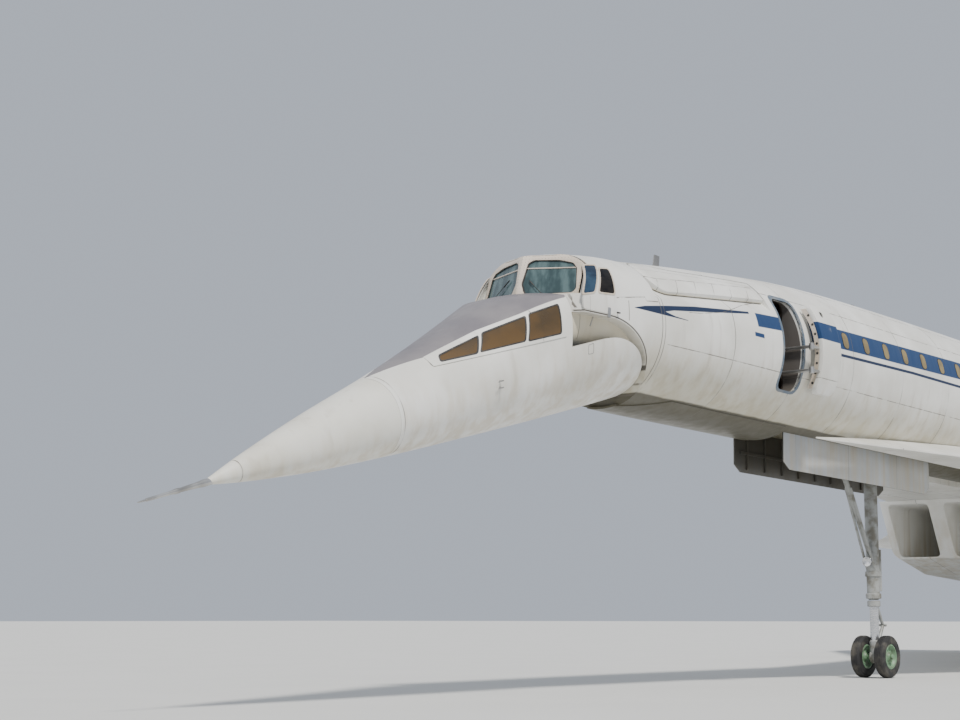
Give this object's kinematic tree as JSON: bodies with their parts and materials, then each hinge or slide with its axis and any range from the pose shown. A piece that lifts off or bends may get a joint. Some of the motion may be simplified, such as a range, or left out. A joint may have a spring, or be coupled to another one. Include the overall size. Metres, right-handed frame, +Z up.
{
  "type": "half-size scale model of a supersonic narrow body airliner",
  "caption": "Delta-winged supersonic airliner on its wheels, with a drooping nose, folding canards, moving control surfaces and an open front door.",
  "frame": {"origin": "middle of the underside of the whole part, on the ground under the wheels", "axes": "+X aft along the fuselage, +Y to starboard, +Z up; the nose points along -X"},
  "size_m": [32.6172, 14.4, 7.0307],
  "materials": {
    "white_paint": "weathered white gloss paint with dirt streaks",
    "radome_paint": "warm white paint, dusty",
    "visor_pane": "brown opaque panes in dark seals",
    "windscreen_glass": "blue green glass",
    "bare_steel": "bare steel",
    "nozzle_metal": "heat stained metal",
    "engine_metal": "dull cast metal",
    "gear_paint": "light grey paint",
    "tyre_rubber": "black tyre rubber"
  },
  "bodies": {
    "airframe": {"cockpit_fuselage": "white_paint", "windscreen": "windscreen_glass", "forward_fuselage": "white_paint", "cabin_fuselage": "white_paint", "tail_fuselage": "white_paint", "passenger_door": "white_paint", "fin": "white_paint", "nose_bay_door_port": "white_paint", "wing_port": "white_paint", "nacelle_port": "white_paint", "engine_port_1": "engine_metal", "nozzle_port_1": "nozzle_metal", "engine_port_2": "engine_metal", "nozzle_port_2": "nozzle_metal", "main_leg_port": "gear_paint", "bogie_port": "gear_paint", "nose_bay_door_starboard": "white_paint", "wing_starboard": "white_paint", "nacelle_starboard": "white_paint", "engine_starboard_1": "engine_metal", "nozzle_starboard_1": "nozzle_metal", "engine_starboard_2": "engine_metal", "nozzle_starboard_2": "nozzle_metal", "main_leg_starboard": "gear_paint", "bogie_starboard": "gear_paint", "nose_leg": "gear_paint"},
    "nose": {"droop_nose": "white_paint", "radome": "radome_paint", "pitot_boom": "bare_steel", "visor_band_port": "visor_pane", "visor_band_starboard": "visor_pane"},
    "steering": {"nose_steering": "gear_paint"},
    "nose_wheel_set": {"nose_wheels": "tyre_rubber"},
    "lower_rudder": {"lower_rudder": "white_paint"},
    "upper_rudder": {"upper_rudder": "white_paint"},
    "canard_port": {"canard_port": "white_paint"},
    "elevon_port_1": {"elevon_port_1": "white_paint"},
    "elevon_port_2": {"elevon_port_2": "white_paint"},
    "elevon_port_3": {"elevon_port_3": "white_paint"},
    "elevon_port_4": {"elevon_port_4": "white_paint"},
    "wheels_port_front": {"wheels_port_front": "tyre_rubber"},
    "wheels_port_rear": {"wheels_port_rear": "tyre_rubber"},
    "canard_starboard": {"canard_starboard": "white_paint"},
    "elevon_starboard_1": {"elevon_starboard_1": "white_paint"},
    "elevon_starboard_2": {"elevon_starboard_2": "white_paint"},
    "elevon_starboard_3": {"elevon_starboard_3": "white_paint"},
    "elevon_starboard_4": {"elevon_starboard_4": "white_paint"},
    "wheels_starboard_front": {"wheels_starboard_front": "tyre_rubber"},
    "wheels_starboard_rear": {"wheels_starboard_rear": "tyre_rubber"}
  },
  "joints": [
    {"name": "nose_droop", "type": "hinge", "parent": "airframe", "child": "nose", "pos_m": [-11.10333, 0, 2.9867], "axis": [0, 1, 0], "range_deg": [0, 17]},
    {"name": "nose_steer", "type": "hinge", "parent": "airframe", "child": "steering", "pos_m": [-5.40816, 0, 0.6], "axis": [0, 0, 1], "range_deg": [-60, 60]},
    {"name": "nose_wheels_spin", "type": "hinge", "parent": "steering", "child": "nose_wheel_set", "pos_m": [-5.40816, 0, 0.2375], "axis": [0, 1, 0], "continuous": true},
    {"name": "lower_rudder_swing", "type": "hinge", "parent": "airframe", "child": "lower_rudder", "pos_m": [14.50401, 0, 4.84201], "axis": [0.0262, 0, 0.9997], "range_deg": [-25, 25]},
    {"name": "upper_rudder_swing", "type": "hinge", "parent": "airframe", "child": "upper_rudder", "pos_m": [14.50401, 0, 4.84201], "axis": [0.0262, 0, 0.9997], "range_deg": [-25, 25]},
    {"name": "canard_port_swing", "type": "hinge", "parent": "airframe", "child": "canard_port", "pos_m": [-10.58243, -0.40817, 3.77837], "axis": [0.0689, 0.6402, -0.7651], "range_deg": [0, 90]},
    {"name": "elevon_port_1_hinge", "type": "hinge", "parent": "airframe", "child": "elevon_port_1", "pos_m": [9.88149, -3.04063, 2.13208], "axis": [0, 1, 0], "range_deg": [-20, 20]},
    {"name": "elevon_port_2_hinge", "type": "hinge", "parent": "airframe", "child": "elevon_port_2", "pos_m": [9.88149, -4.17188, 2.13208], "axis": [0, 1, 0], "range_deg": [-20, 20]},
    {"name": "elevon_port_3_hinge", "type": "hinge", "parent": "airframe", "child": "elevon_port_3", "pos_m": [9.88149, -5.30312, 2.13208], "axis": [0, 1, 0], "range_deg": [-20, 20]},
    {"name": "elevon_port_4_hinge", "type": "hinge", "parent": "airframe", "child": "elevon_port_4", "pos_m": [9.88149, -6.43438, 2.13208], "axis": [0, 1, 0], "range_deg": [-20, 20]},
    {"name": "wheels_port_front_spin", "type": "hinge", "parent": "airframe", "child": "wheels_port_front", "pos_m": [4.79486, -1.515, 0.2375], "axis": [0, 1, 0], "continuous": true},
    {"name": "wheels_port_rear_spin", "type": "hinge", "parent": "airframe", "child": "wheels_port_rear", "pos_m": [5.41486, -1.515, 0.2375], "axis": [0, 1, 0], "continuous": true},
    {"name": "canard_starboard_swing", "type": "hinge", "parent": "airframe", "child": "canard_starboard", "pos_m": [-10.58243, 0.40817, 3.77837], "axis": [-0.0689, 0.6402, 0.7651], "range_deg": [0, 90]},
    {"name": "elevon_starboard_1_hinge", "type": "hinge", "parent": "airframe", "child": "elevon_starboard_1", "pos_m": [9.88149, 3.04063, 2.13208], "axis": [0, 1, 0], "range_deg": [-20, 20]},
    {"name": "elevon_starboard_2_hinge", "type": "hinge", "parent": "airframe", "child": "elevon_starboard_2", "pos_m": [9.88149, 4.17188, 2.13208], "axis": [0, 1, 0], "range_deg": [-20, 20]},
    {"name": "elevon_starboard_3_hinge", "type": "hinge", "parent": "airframe", "child": "elevon_starboard_3", "pos_m": [9.88149, 5.30312, 2.13208], "axis": [0, 1, 0], "range_deg": [-20, 20]},
    {"name": "elevon_starboard_4_hinge", "type": "hinge", "parent": "airframe", "child": "elevon_starboard_4", "pos_m": [9.88149, 6.43438, 2.13208], "axis": [0, 1, 0], "range_deg": [-20, 20]},
    {"name": "wheels_starboard_front_spin", "type": "hinge", "parent": "airframe", "child": "wheels_starboard_front", "pos_m": [4.79486, 1.515, 0.2375], "axis": [0, 1, 0], "continuous": true},
    {"name": "wheels_starboard_rear_spin", "type": "hinge", "parent": "airframe", "child": "wheels_starboard_rear", "pos_m": [5.41486, 1.515, 0.2375], "axis": [0, 1, 0], "continuous": true}
  ]
}
